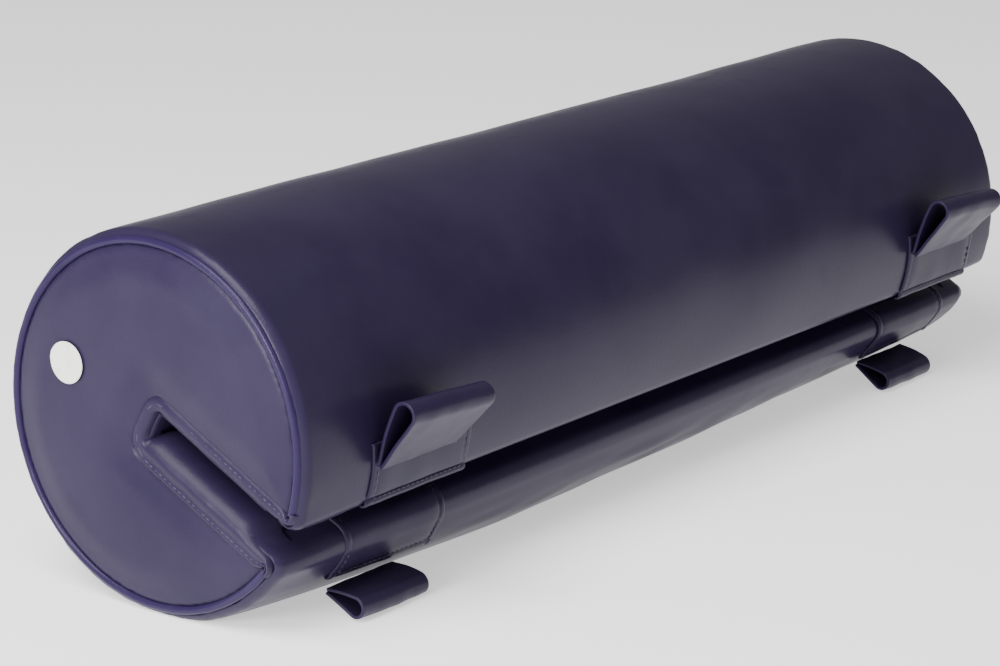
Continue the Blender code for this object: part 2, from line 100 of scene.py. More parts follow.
# %% [markdown]
# ## Following the skin
# A point on the cover is named by how far it lies along the vinyl from the edge inside the slot, and by
# its x. The vinyl first runs flat out of the slot, then round the lip, then round the barrel. The lower
# jaw swells a little past the round, because the stuffing there has been pressed forward.

# %% Points on the skin
def jaw_swell(x, phi):
    along = min(max(x / (2 * HALF_LENGTH) + 0.5, 0.0), 1.0)
    rise = smooth(phi / math.radians(26))
    fall = 1 - smooth((phi - math.radians(38)) / math.radians(34))
    return 0.0085 * math.sin(math.pi * along ** 0.643) * rise * fall


def skin_point(side, along):
    """t, h and the outward direction on the skin; side is 1 on the upper jaw and -1 on the lower."""
    if along < LIP_TURN_IN:
        t, h, normal = LIP_T - LIP_TURN_IN + along, HALF_SLOT, -math.pi / 2
    elif along < LIP_TURN_IN + LIP_ARC:
        normal = -math.pi / 2 + (along - LIP_TURN_IN) / LIP_RADIUS
        t = LIP_T + LIP_RADIUS * math.cos(normal)
        h = LIP_H + LIP_RADIUS * math.sin(normal)
    else:
        normal = LIP_END + (along - LIP_TURN_IN - LIP_ARC) / ROLL_RADIUS
        t, h = ROLL_RADIUS * math.cos(normal), ROLL_RADIUS * math.sin(normal)
    return t, side * h, side * normal


def on_skin(side, along, x, lift):
    """A point in the frame, lifted off the skin."""
    t, h, normal = skin_point(side, along)
    if side < 0:
        lift = lift + jaw_swell(x, math.atan2(abs(h), t) % (2 * math.pi))
    y, z = to_world(t + lift * math.cos(normal), h + lift * math.sin(normal))
    return Vector((x, y, z))


def along_at(degrees):
    """Distance along the skin at an angle from the slot's middle."""
    return LIP_TURN_IN + LIP_ARC + ROLL_RADIUS * (math.radians(degrees) - LIP_END)


print("from slot edge to lip's end:", round(LIP_TURN_IN + LIP_ARC, 4))

# %% [markdown]
# ## Two ways to make a piece
# Most of the cover is sheet, so most pieces start as a flat grid that is bent to its place, and get
# their thickness from Solidify. Threads, rings and hardware are drawn straight into a bmesh. Both end in
# the same small function, which makes the object, smooths it and gives it its finish.

# %% Objects from bmeshes
def keep(name, bm, finish, body="cover", stands_for=(), thickness=0.0, offset=-1.0):
    """Makes an object of a bmesh, with a wall if it has a thickness, and lets it ride on its body."""
    mesh = bpy.data.meshes.new(name)
    bm.to_mesh(mesh)
    bm.free()
    mesh.shade_smooth()
    mesh.set_sharp_from_angle(angle=math.radians(50))
    obj = bpy.data.objects.new(name, mesh)
    bpy.context.scene.collection.objects.link(obj)
    mesh.materials.append(finish)
    if thickness:
        wall = obj.modifiers.new("wall", "SOLIDIFY")
        wall.thickness = thickness
        wall.offset = offset
        wall.use_even_offset = True
    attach(obj, body)
    if stands_for:
        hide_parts(*stands_for)
    return obj


def bent_grid(rows, columns, place, flip=False):
    """A grid whose every vertex is moved to place(u, v), with u across and v along, both from 0 to 1."""
    bm = bmesh.new()
    bmesh.ops.create_grid(bm, x_segments=columns, y_segments=rows, size=0.5)
    for vert in bm.verts:
        vert.co = place(vert.co.y + 0.5, vert.co.x + 0.5)
    if flip:
        bmesh.ops.reverse_faces(bm, faces=bm.faces)
    bm.normal_update()
    return bm


def stepped(value, stops):
    """Follows a list of (at, value) stops in straight lines."""
    for (low, a), (high, b) in zip(stops, stops[1:]):
        if value <= high:
            return a + (b - a) * max(value - low, 0.0) / (high - low)
    return stops[-1][1]


# %% [markdown]
# ## Writing finishes as sums
# A finish is a node tree, and node trees are easier to read as arithmetic. The class below wraps a
# socket, so that adding or multiplying two of them adds the Math node that does it. Everything else goes
# through one method, which takes a node's type, its settings and what its sockets are fed.

# %% Sockets that can be added and multiplied
class Socket:
    def __init__(self, finish, link):
        self.finish = finish
        self.link = link

    def math_node(self, operation, first, second):
        return self.finish.node("ShaderNodeMath", {"operation": operation}, {0: first, 1: second})

    def __add__(self, other):
        return self.math_node("ADD", self, other)

    def __radd__(self, other):
        return self.math_node("ADD", other, self)

    def __sub__(self, other):
        return self.math_node("SUBTRACT", self, other)

    def __rsub__(self, other):
        return self.math_node("SUBTRACT", other, self)

    def __mul__(self, other):
        return self.math_node("MULTIPLY", self, other)

    def __rmul__(self, other):
        return self.math_node("MULTIPLY", other, self)


# %% A finish and its nodes
class Finish:
    def __init__(self, name, roughness=0.5, metallic=0.0, **sockets):
        self.material = bpy.data.materials.new(name)
        self.material.use_nodes = True
        self.tree = self.material.node_tree
        self.shader = self.tree.nodes["Principled BSDF"]
        self.shader.inputs["Roughness"].default_value = roughness
        self.shader.inputs["Metallic"].default_value = metallic
        for socket, value in sockets.items():
            self.shader.inputs[socket.replace("_", " ")].default_value = value
        self.place = self.node("ShaderNodeTexCoord", {}, {}, "Object")

    def node(self, kind, settings, inputs, output=0):
        made = self.tree.nodes.new(kind)
        for setting, value in settings.items():
            if setting == "stops":
                ramp = made.color_ramp
                for index, (position, color) in enumerate(value):
                    stop = ramp.elements[index] if index < 2 else ramp.elements.new(position)
                    stop.position, stop.color = position, color
            else:
                setattr(made, setting, value)
        for socket, value in inputs.items():
            self.feed(made.inputs[socket], value)
        return Socket(self, made.outputs[output])

    def feed(self, socket, value):
        if isinstance(value, Socket):
            self.tree.links.new(value.link, socket)
        else:
            socket.default_value = value

    def mix(self, mask, low, high):
        """A colour between two others."""
        return self.node("ShaderNodeMix", {"data_type": "RGBA"}, {0: mask, 6: low, 7: high}, 2)

    def stretched(self, x, y, z):
        return self.node("ShaderNodeVectorMath", {"operation": "MULTIPLY"}, {0: self.place, 1: (x, y, z)})

    def clouds(self, scale, detail=3.0, roughness=0.5, place=None):
        sockets = {"Vector": place or self.place, "Scale": scale, "Detail": detail, "Roughness": roughness}
        return self.node("ShaderNodeTexNoise", {}, sockets)

    def ramp(self, value, low, high):
        """0 below low, 1 above high and smooth between."""
        settings = {"interpolation_type": "SMOOTHSTEP"}
        return self.node("ShaderNodeMapRange", settings, {0: value, 1: low, 2: high, 3: 0.0, 4: 1.0})

    def bump(self, height, distance):
        sockets = {"Height": height, "Distance": distance, "Strength": 1.0}
        self.feed(self.shader.inputs["Normal"], self.node("ShaderNodeBump", {}, sockets))

    def paint(self, **sockets):
        for socket, value in sockets.items():
            self.feed(self.shader.inputs[socket.replace("_", " ")], value)
        return self.material


# %% [markdown]
# ## Upholstery vinyl
# The cover is smooth coated fabric. Its top coat is dark navy with a little violet in it and has a satin
# shine, so most of what is seen on it is a soft reflection. Close up there is a fine pressed grain of
# tiny flat cells. Handling leaves faint cloudy marks, which change the shine more than the colour. Each
# of these is one noise or cell texture on Object coordinates, which stay fixed to the piece.

# %% Make a vinyl
def rgb(red, green, blue):
    return (red, green, blue, 1.0)


GRAIN_DEPTH = 0.00006


def vinyl(name, deep, worn, roughness):
    finish = Finish(name, roughness, Specular_IOR_Level=0.15)
    cells = finish.node("ShaderNodeTexVoronoi", {"feature": "SMOOTH_F1"},
                        {"Vector": finish.place, "Scale": 1300.0})
    pores = finish.clouds(2600.0, 2.0)
    weave = finish.clouds(420.0, 3.0)
    drift = finish.clouds(14.0, 4.0, 0.55)
    rub = finish.ramp(finish.clouds(55.0, 5.0, 0.6), 0.52, 0.78)
    tone = finish.mix(finish.ramp(drift, 0.30, 0.72), deep, worn)
    tone = finish.mix(rub * 0.22, tone, worn)
    shine = roughness + (drift - 0.5) * 0.10 + rub * 0.07 + (weave - 0.5) * 0.04
    finish.bump(cells * 0.7 + pores * 0.3 + weave * 0.8, GRAIN_DEPTH)
    return finish.paint(Base_Color=tone, Roughness=shine)


NAVY, NAVY_WORN = rgb(0.0160, 0.0106, 0.0330), rgb(0.0225, 0.0165, 0.0415)
PIPING_NAVY, PIPING_WORN = rgb(0.0150, 0.0080, 0.0400), rgb(0.0230, 0.0150, 0.0500)
cover_vinyl = vinyl("cover_vinyl", NAVY, NAVY_WORN, 0.30)
end_vinyl = vinyl("end_vinyl", NAVY, NAVY_WORN, 0.36)
lining_vinyl = vinyl("lining_vinyl", NAVY, NAVY_WORN, 0.40)
piping_vinyl = vinyl("piping_vinyl", PIPING_NAVY, PIPING_WORN, 0.30)
strap_vinyl = vinyl("strap_vinyl", NAVY, NAVY_WORN, 0.33)

# %% [markdown]
# ## Thread, foam, tape and metal
# Thread is twisted, so it gets fine slanted ridges. Foam is a mass of open cells, their pits painted darker
# as painted shade. The zip's tape is woven and matt, with the dips of its weave painted darker as painted
# shade; its coils are smooth nylon, and its slider is nickel-plated with worn edges.

# %% The other finishes
def thread_finish():
    finish = Finish("seam_thread", 0.55)
    twist = finish.node("ShaderNodeTexWave", {"bands_direction": "DIAGONAL"},
                        {"Vector": finish.place, "Scale": 900.0, "Distortion": 1.0})
    fuzz = finish.clouds(2200.0, 2.0)
    finish.bump(twist * 0.7 + fuzz * 0.3, 0.00008)
    return finish.paint(Base_Color=finish.mix(fuzz, rgb(0.016, 0.013, 0.038), rgb(0.045, 0.038, 0.085)))


def foam_finish():
    finish = Finish("open_cell_foam", 0.95)
    cells = finish.node("ShaderNodeTexVoronoi", {}, {"Vector": finish.place, "Scale": 700.0})
    lumps = finish.clouds(90.0, 4.0)
    finish.bump(cells, 0.0006)
    # painted shade: the pits of the cells, where the bump is lowest, are painted darker
    tone = finish.mix(finish.ramp(cells, 0.0, 0.5), rgb(0.42, 0.35, 0.20), rgb(0.80, 0.72, 0.52))
    return finish.paint(Base_Color=finish.mix(lumps * 0.3, tone, rgb(0.70, 0.58, 0.36)))


def tape_finish():
    finish = Finish("zip_tape", 0.85)
    sockets = {"Vector": finish.place, "Scale": 320.0}
    warp = finish.node("ShaderNodeTexWave", {"bands_direction": "X"}, sockets)
    weft = finish.node("ShaderNodeTexWave", {"bands_direction": "Z"}, sockets)
    cloth = warp * weft
    finish.bump(cloth, 0.00015)
    # painted shade: the dips of the weave, where the bump is lowest, are painted darker
    return finish.paint(Base_Color=finish.mix(cloth, rgb(0.010, 0.010, 0.013), rgb(0.030, 0.028, 0.036)))


def nylon_finish():
    finish = Finish("zip_nylon", 0.38)
    haze = finish.clouds(300.0)
    return finish.paint(Base_Color=finish.mix(haze, rgb(0.012, 0.011, 0.015), rgb(0.030, 0.028, 0.036)),
                        Roughness=0.32 + haze * 0.2)


def nickel_finish():
    finish = Finish("zip_nickel", 0.3, 1.0)
    brushed = finish.clouds(1.0, 3.0, 0.6, finish.stretched(200.0, 2600.0, 2600.0))
    wear = finish.ramp(finish.clouds(240.0, 4.0), 0.50, 0.70)
    tone = finish.mix(wear, rgb(0.60, 0.59, 0.57), rgb(0.48, 0.46, 0.42))
    finish.bump(brushed, 0.00004)
    return finish.paint(Base_Color=tone, Roughness=0.22 + brushed * 0.18 + wear * 0.12)


def badge_finish():
    finish = Finish("badge_paper", 0.42)
    fibres = finish.clouds(1.0, 4.0, 0.6, finish.stretched(900.0, 500.0, 900.0))
    smudge = finish.ramp(finish.clouds(160.0, 4.0), 0.48, 0.75)
    finish.bump(fibres, 0.00004)
    tone = finish.mix(fibres, rgb(0.74, 0.74, 0.68), rgb(0.84, 0.83, 0.78))
    return finish.paint(Base_Color=finish.mix(smudge * 0.35, tone, rgb(0.60, 0.58, 0.50)),
                        Roughness=0.36 + fibres * 0.15)


seam_thread, open_foam, zip_cloth = thread_finish(), foam_finish(), tape_finish()
zip_nylon, zip_nickel, badge_paper = nylon_finish(), nickel_finish(), badge_finish()
print("finishes:", len(bpy.data.materials))

# %% [markdown]
# ## The barrel panels
# Two vinyl panels wrap the roll, from inside the slot, round a lip and round the barrel to the zip. On a
# stuffed roll the skin is taut but not perfect: it rolls over at the ends and is gathered there in tiny
# tucks by the seam, it has slow dents where the foam is softer, and the lower jaw carries a few long
# creases where it is pressed forward. The panels are grids bent to the skin, with those moves added.

# %% How far the vinyl stands off the round
RIM_START, RIM_RADIUS = 0.3298, 0.0060


def tucks(x, run, seed):
    """Gathers at an end seam: short dents that fade away from the seam."""
    near = smooth(1 - (RIM_START + 0.005 - abs(x)) / 0.026)
    wave = grain(run, seed, 0.0, 0.0075) + 0.6 * grain(run, seed, 3.0, 0.016)
    return -0.00055 * near * near * (0.6 + wave)


def dents(side, along, x):
    """Slow unevenness of the stuffing."""
    free = smooth((along - LIP_TURN_IN - LIP_ARC * 0.6) / 0.030)
    broad = grain(x, along, 1.0, 0.110, 4.0 + side) * 0.0010
    small = grain(x, along, 2.0, 0.045, 7.0 + side) * 0.00035
    return (broad + small) * free


def creases(along, x):
    """Long shallow folds on the lower jaw under the lip."""
    zone = smooth((along - 0.026) / 0.012) * (1 - smooth((along - 0.052) / 0.020))
    reach = smooth((x + 0.20) / 0.08) * (1 - smooth((x - 0.24) / 0.05))
    folds = grain(x * 0.14, along + 0.05 * x, 5.0, 0.0075, 2.0)
    return 0.0011 * zone * (0.25 + 0.75 * reach) * folds


def nose(side, along, x):
    """The lips stand out a little further at the left end, where the slot is pinched."""
    peak, height = (0.45, 0.0016) if side > 0 else (0.70, 0.0020)
    round_lip = math.exp(-((along - LIP_TURN_IN - LIP_ARC * peak) / 0.0075) ** 2)
    return height * round_lip * smooth((-0.255 - x) / 0.070)


# %% Bend both panels
PANEL_ROWS, PANEL_COLUMNS = 104, 250
ZIP_EDGE_UP, ZIP_EDGE_DOWN = 229.96, 123.16      # degrees round from the slot, each way
LAST_ROWS = {1: along_at(ZIP_EDGE_UP), -1: along_at(ZIP_EDGE_DOWN)}
ROLL_OVER, ROLL_TURN = 0.94, 64                  # share of the half length, and degrees turned


def panel_row(side, u):
    """Rows are close together round the lip and wider on the barrel."""
    stops = [(0.0, 0.0), (0.10, LIP_TURN_IN), (0.34, LIP_TURN_IN + LIP_ARC), (1.0, LAST_ROWS[side])]
    return stepped(u, stops)


def panel_column(v):
    """x and the inset where the vinyl rolls over at the ends."""
    s = 2 * v - 1
    if abs(s) < ROLL_OVER:
        return s / ROLL_OVER * RIM_START, 0.0
    turn = math.radians(ROLL_TURN) * (abs(s) - ROLL_OVER) / 0.06
    x = RIM_START + RIM_RADIUS * math.sin(turn)
    return math.copysign(x, s), RIM_RADIUS * (1 - math.cos(turn)) * 1.12


def place_panel(side, u, v):
    along = panel_row(side, u)
    x, inset = panel_column(v)
    inset *= 0.35 + 0.65 * smooth((along - LIP_TURN_IN) / LIP_ARC)
    lift = -inset + tucks(x, along, 3.0 * side) + dents(side, along, x) + nose(side, along, x)
    if side < 0:
        lift += creases(along, x)
    point = on_skin(side, along, x, lift)
    point.z = max(point.z, 0.0)
    return point


for side, word in ((1, "upper"), (-1, "lower")):
    sheet = bent_grid(PANEL_ROWS, PANEL_COLUMNS, lambda u, v: place_panel(side, u, v), flip=side < 0)
    panel = keep("cover_" + word, sheet, cover_vinyl, stands_for=["barrel_panel_" + word], thickness=VINYL)
    print(panel.name, len(panel.data.polygons), "faces")

# %% [markdown]
# ## The end pads
# Each end is a round vinyl panel with padding behind it, cut out for the slot. Real padding swells
# between its seams, and a cloth simulation gives that for little work: a thin flat pad is drawn, voxel
# remeshed so that its cells are even, and blown up a little with its stitched edge pinned. How far a
# point may move is capped, and a low crown and a slow wave are then added to the outer face.

# %% Draw the flat pad
CAP_RADIUS = 0.0929
PAD_GAP, LOWER_GAP = 0.0064, 0.0096              # from the slot's walls, for the rolled edge
CORNER_CUT = 0.0045


def cap_outline(inset):
    """Round with the slot cut out, drawn in from its edge all round."""
    radius, root = CAP_RADIUS - inset, -PAD_GAP - inset
    above, below = HALF_SLOT + PAD_GAP + inset, HALF_SLOT + LOWER_GAP + inset
    first, last = math.asin(above / radius), 2 * math.pi - math.asin(below / radius)
    angles = [first + (last - first) * i / 150 for i in range(151)]
    rim = [(radius * math.cos(a), radius * math.sin(a)) for a in angles]
    lower = [(root + CORNER_CUT, -below), (root, CORNER_CUT - below)]
    upper = [(root, above - CORNER_CUT), (root + CORNER_CUT, above)]
    return rim + lower + upper


def flat_pad(end):
    bm = bmesh.new()
    rings = []
    # how far each ring is drawn in, and how far it stands out from the end plane
    for inset, depth in ((0.0008, -0.0045), (0.0, -0.0030), (0.0, -0.0008), (0.0014, 0.0004)):
        corners = [bm.verts.new((end * (END_PLANE + depth), *to_world(t, h))) for t, h in cap_outline(inset)]
        rings.append([bm.edges.new(pair) for pair in zip(corners, corners[1:] + corners[:1])])
    for low, high in zip(rings, rings[1:]):
        bmesh.ops.bridge_loops(bm, edges=low + high)
    bmesh.ops.edgeloop_fill(bm, edges=rings[0])
    bmesh.ops.edgeloop_fill(bm, edges=rings[-1])
    bm.normal_update()
    bmesh.ops.recalc_face_normals(bm, faces=bm.faces)
    return bm


def edge_distance(y, z):
    """How far inside the pad's outline a point lies."""
    dy, dz = y, z - AXIS_HEIGHT
    t = dy * math.cos(SLOT_DIR) + dz * math.sin(SLOT_DIR)
    h = dy * math.sin(SLOT_DIR) - dz * math.cos(SLOT_DIR)
    rim = CAP_RADIUS - math.hypot(t, h)
    beside = abs(h) - HALF_SLOT - (PAD_GAP if h > 0 else LOWER_GAP)
    behind = -PAD_GAP - t
    notch = max(beside, behind) if min(beside, behind) < 0 else math.hypot(beside, behind)
    return min(rim, notch)


# %% Remesh and blow up
VOXEL, PUFF_STEPS = 0.0022, 20
PRESSURE, MOST_MOVE, SEAM_HOLD = 4.0, 0.0042, 0.0030


def modified(obj, kind, **settings):
    """Adds a modifier and sets it; it stays live until bake is called."""
    modifier = obj.modifiers.new(kind.lower(), kind)
    for setting, value in settings.items():
        setattr(modifier, setting, value)


def bake(obj):
    """Swaps the object's mesh for what its modifiers make of it."""
    made = bpy.data.meshes.new_from_object(obj.evaluated_get(bpy.context.evaluated_depsgraph_get()))
    obj.modifiers.clear()
    obj.data = made


def blow_up(obj, pressure, cap, pinned):
    """Cloth with pressure and no gravity; pinned(co) is 1 where the seam holds the cloth."""
    before = [vert.co.copy() for vert in obj.data.vertices]
    group = obj.vertex_groups.new(name="seam")
    for vert in obj.data.vertices:
        group.add([vert.index], pinned(vert.co), "REPLACE")
    cloth = obj.modifiers.new("puff", "CLOTH")
    cloth.settings.quality = 5
    cloth.settings.mass = 0.3
    cloth.settings.tension_stiffness = cloth.settings.compression_stiffness = 15
    cloth.settings.shear_stiffness = 5
    cloth.settings.bending_stiffness = 2.0
    cloth.settings.use_pressure = True
    cloth.settings.uniform_pressure_force = pressure
    cloth.settings.vertex_group_mass = group.name
    cloth.settings.effector_weights.gravity = 0
    scene = bpy.context.scene
    for step in range(1, PUFF_STEPS + 1):
        scene.frame_set(step)
    bake(obj)
    scene.frame_set(1)
    for vert, start in zip(obj.data.vertices, before):
        move = vert.co - start
        if move.length > 1e-9:
            vert.co = start + move * (cap * math.tanh(move.length / cap) / move.length)


# %% Make both pads
def held(co):
    return 1.0 if edge_distance(co.y, co.z) < SEAM_HOLD else 0.0


for end, word in ((-1, "left"), (1, "right")):
    pad = keep("end_pad_" + word, flat_pad(end), end_vinyl, stands_for=["end_panel_" + word])
    modified(pad, "REMESH", mode="VOXEL", voxel_size=VOXEL, adaptivity=0.0, use_smooth_shade=True)
    bake(pad)
    blow_up(pad, PRESSURE, MOST_MOVE, held)
    for vert in pad.data.vertices:
        inner = edge_distance(vert.co.y, vert.co.z)
        if vert.co.x * end > END_PLANE - 0.0020:
            crown = 0.0022 * smooth(inner / 0.020)
            wave = 0.0007 * grain(vert.co.y, vert.co.z, 9.0, 0.050, end) * smooth(inner / 0.03)
            vert.co.x += end * (crown + wave)
    modified(pad, "SUBSURF", levels=1, render_levels=1)
    print(pad.name, len(pad.data.polygons), "faces before the subdivision")

# %% [markdown]
# ## Piping round the ends
# The end seam is finished with a round cord in a strip of vinyl. It is a turned shape, so one circle is
# spun round the roll's axis and then given the small lumps of a cord pulled round a curve.

# %% Spin the piping
WELT_RING, WELT_PLANE, WELT_RADIUS = 0.0943, 0.3348, 0.0023
WELT_START = LIP_END + 0.0004 / WELT_RING


def piping(end):
    bm = bmesh.new()
    ring = bmesh.ops.create_circle(bm, cap_ends=True, segments=12, radius=WELT_RADIUS)["verts"]
    stand_up = Matrix.Rotation(math.pi / 2, 3, "Y") @ Matrix.Rotation(0.2, 3, "Z")
    bmesh.ops.rotate(bm, verts=ring, matrix=stand_up)
    bmesh.ops.rotate(bm, verts=ring, matrix=Matrix.Rotation(math.pi / 2, 3, "Z"))
    bmesh.ops.translate(bm, verts=ring, vec=(0, 0, WELT_RING))
    # the circle now stands across +Z; turn it to the upper lip and spin it round to the lower one
    start = SLOT_DIR - WELT_START
    bmesh.ops.rotate(bm, verts=ring, matrix=Matrix.Rotation(start - math.pi / 2, 3, "X"))
    turn = 2 * math.pi - 2 * WELT_START
    bmesh.ops.spin(bm, geom=bm.verts[:] + bm.edges[:] + bm.faces[:], axis=(1, 0, 0), cent=(0, 0, 0),
                   dvec=(0, 0, 0), angle=-turn, steps=260, use_merge=False, use_duplicate=False)
    bmesh.ops.remove_doubles(bm, verts=bm.verts, dist=1e-6)
    for vert in bm.verts:
        angle = math.atan2(vert.co.z, vert.co.y)
        middle = Vector((0, math.cos(angle) * WELT_RING, math.sin(angle) * WELT_RING))
        close = 0.07 * grain(angle * WELT_RING, 0.0, 0.0, 0.006, 5.0 + end)
        slow = 0.05 * grain(angle * 0.1, 1.0, 0, 0.02)
        vert.co = middle + (vert.co - middle) * (1 + close + slow)
    bmesh.ops.translate(bm, verts=bm.verts, vec=(end * WELT_PLANE, 0, AXIS_HEIGHT))
    bm.normal_update()
    bmesh.ops.recalc_face_normals(bm, faces=bm.faces)
    return bm


for end, word in ((-1, "left"), (1, "right")):
    welt = keep("end_piping_" + word, piping(end), piping_vinyl, stands_for=["end_welt_" + word])
    print(welt.name, [round(side, 3) for side in welt.dimensions])

# %% [markdown]
# ## The slot's edge on the ends
# Round the slot the vinyl turns in from the end and is topstitched, so the edge is a soft roll with a
# flat stitched band beside it. The roll's section is carried along a U: out along the lower edge, round
# the root and back along the upper edge. The lower edge is rounder than the upper one, because it is
# pushed down by whatever the slot last held.

# %% The path and the section of the edge
ROOT_ROUND = 0.0022
EDGE_END = LIP_TURN_IN + 1.15 * LIP_ARC
EDGE_LIP, EDGE_WALL = EDGE_END, LIP_T - LIP_TURN_IN - ROOT_ROUND
EDGE_CORNER, EDGE_BACK = math.pi / 2 * ROOT_ROUND, 2 * (HALF_SLOT - ROOT_ROUND)
EDGE_LENGTH = 2 * (EDGE_LIP + EDGE_WALL + EDGE_CORNER) + EDGE_BACK


def half_path(run, aside):
    """t and h on the upper half, run counted from the middle of the root."""
    if run < EDGE_BACK / 2:
        return -aside, run
    run -= EDGE_BACK / 2
    if run < EDGE_CORNER:
        turn = math.pi - run / ROOT_ROUND
        radius = ROOT_ROUND + aside
        return ROOT_ROUND + radius * math.cos(turn), HALF_SLOT - ROOT_ROUND + radius * math.sin(turn)
    run -= EDGE_CORNER
    if run < EDGE_WALL:
        return ROOT_ROUND + run, HALF_SLOT + aside
    # round the lip the edge tucks in under the barrel panel and narrows, so that it can't fold over itself
    past = smooth((run - EDGE_WALL - 0.6 * LIP_TURN_IN) / 0.010)
    aside += past * (0.0020 - 0.62 * aside)
    t, h, normal = skin_point(1, run - EDGE_WALL)
    return t - aside * math.cos(normal), h - aside * math.sin(normal)


def u_path(share, aside):
    """t and h along the whole edge, from the lower lip round the root to the upper lip."""
    run = (share - 0.5) * EDGE_LENGTH
    t, h = half_path(min(abs(run), EDGE_LENGTH / 2 - 1e-6), aside)
    return t, math.copysign(h, run)


def edge_section(share, u):
    """Distance aside from the wall and height over the end plane, for the rolled and stitched edge."""
    lower = 1 - smooth((share - 0.425) / 0.060)
    lips = smooth((abs(share - 0.5) - 0.39) / 0.055)
    roll = 0.0026 + 0.0010 * lips * (1 - lower)
    band = 0.0098 - 0.0006 * lips
    if u < 0.58:
        # the upper edge is a crisp quarter round, the lower one half of a fat oval bulging into the slot
        turn = u / 0.58 * math.pi / 2
        crisp = (0.0001 + roll * (1 - math.cos(turn)), -roll - 0.006 * (1 - u / 0.58) + roll * math.sin(turn))
        bulge = 0.0056 * (1 - smooth((0.16 - share) / 0.06))
        fat = (0.0040 - (0.0040 + bulge) * math.cos(turn), -0.0200 + 0.0210 * math.sin(turn))
        return tuple(a + (b - a) * lower for a, b in zip(crisp, fat))
    across = (u - 0.58) / 0.42
    start = roll + (0.0040 - roll) * lower
    stop = band + 0.0034 * smooth((0.470 - share) / 0.030) * (1 - 0.3 * lips)
    swell = 0.0005 * math.sin(math.pi * min(across * 1.3, 1.0)) * (1 - lower)
    step = lower * 0.0010 * (1 - smooth(across / 0.35))
    step += lower * 0.0007 * math.exp(-((across - 0.62) / 0.10) ** 2)
    sink = -0.0030 * smooth((across - 0.78) / 0.22)
    return start + (stop - start) * across, swell + step + sink


def slot_edge(end):
    def place(u, v):
        aside, height = edge_section(v, u)
        t, h = u_path(v, aside)
        pull = 0.00030 * grain(t, h, 4.0 * end, 0.0065) * smooth(u / 0.4)
        return Vector((end * (END_PLANE + height + pull), *to_world(t, h)))

    return bent_grid(30, 300, place, flip=end < 0)


for end, word in ((-1, "left"), (1, "right")):
    edge = keep("slot_edge_" + word, slot_edge(end), end_vinyl, stands_for=["slot_binding_" + word],
                thickness=0.0008)
    edge.modifiers["wall"].use_even_offset = False
    print(edge.name, len(edge.data.polygons), "faces")

# %% [markdown]
# ## Inside the slot
# The slot's two walls and its root are lined with the same vinyl, joined to the barrel panels by a seam
# just inside the mouth. Each wall is a sheet with slow waves, since nothing holds it flat but glue, and
# the lower wall is swollen by the stuffing that is pressed up under it.

# %% Line the slot
LINER_T = LIP_T - LIP_TURN_IN - GAP
LINER_HALF = 0.3343
LOWER_SWELL = 0.0049            # how far the lower wall bulges into the slot


def liner(side):
    def place(u, v):
        t = u * LINER_T
        x = (2 * v - 1) * LINER_HALF
        hold = smooth(u / 0.12) * smooth((1 - u) / 0.08)
        wave = 0.0007 * hold * (grain(x, t, 3.0 * side, 0.040) + 0.5 * grain(x, t, 8.0, 0.016))
        if side < 0:
            wave += LOWER_SWELL * hold * smooth((LINER_HALF - abs(x)) / 0.016)
        return Vector((x, *to_world(t, side * (HALF_SLOT + GAP - wave))))

    return bent_grid(28, 150, place, flip=side > 0)


for side, word in ((1, "upper"), (-1, "lower")):
    wall = keep("slot_wall_" + word, liner(side), lining_vinyl, stands_for=["slot_lining_" + word],
                thickness=0.0009)


def root_strip(u, v):
    x, h = (2 * v - 1) * LINER_HALF, (2 * u - 1) * (HALF_SLOT - GAP)
    sag = 0.0006 * math.cos(math.pi * (u - 0.5)) + 0.0003 * grain(x, h, 0.0, 0.03)
    return Vector((x, *to_world(-sag, h)))


strip = keep("slot_root", bent_grid(10, 120, root_strip, flip=True), lining_vinyl,
             stands_for=["slot_lining_root"], thickness=0.0008)
print("slot lined, walls", round(2 * LINER_HALF, 3), "m long")

# %% [markdown]
# ## Stitches
# A seam shows as a row of short threads, each a little sunk at its ends. One thread is a small sphere
# that is drawn out, and a row lays one thread after another along a line of points on the skin. Every
# stitch has only a few faces, because there are hundreds of them.

# %% Lay a row of stitches
def bead_mesh(around, rings):
    """A small sphere, kept as a mesh so that it can be copied into a row quickly."""
    bm = bmesh.new()
    bmesh.ops.create_uvsphere(bm, u_segments=around, v_segments=rings, radius=1.0)
    mesh = bpy.data.meshes.new("bead")
    bm.to_mesh(mesh)
    bm.free()
    return mesh


def stamp(bm, mesh, place):
    """Adds a copy of a mesh to a bmesh, turned and sized by a matrix."""
    mesh.transform(place)
    bm.from_mesh(mesh)
    mesh.transform(place.inverted())


thread_bead = bead_mesh(6, 4)


def thread(bm, start, end, up, width):
    """One stitch between two points, lying on the skin."""
    along = end - start
    length = along.length
    if length < 1e-6:
        return
    along.normalize()
    side = up.cross(along).normalized()
    top = along.cross(side)
    turned = Matrix((along, side, top)).transposed().to_4x4()
    sized = Matrix.Diagonal((length / 2, width / 2, width / 2.6, 1.0))
    place = Matrix.Translation((start + end) / 2) @ turned @ sized
    stamp(bm, thread_bead, place)


def row_points(curve, length, pitch):
    """Points a pitch apart along curve(share), with share from 0 to 1."""
    count = max(int(length / pitch), 1)
    return [curve(i / count) for i in range(count + 1)]


def sew(bm, curve, pitch=0.0036, gap=0.0009, width=0.0008):
    """Stitches along curve(share), which returns a point and the outward direction there."""
    fine = [curve(i / 200)[0] for i in range(201)]
    length = sum((b - a).length for a, b in zip(fine, fine[1:]))
    points = row_points(curve, length, pitch)
    for (a, up), (b, _) in zip(points, points[1:]):
        along = (b - a).normalized()
        thread(bm, a + along * gap / 2, b - along * gap / 2, up, width)
    return length


def skin_line(side, along_of, x_of, lift):
    """A line on the cover for sewing, with the outward direction."""
    def curve(share):
        along, x = along_of(share), x_of(share)
        point = on_skin(side, along, x, lift)
        out = on_skin(side, along, x, lift + 0.001) - point
        return point, out.normalized()

    return curve


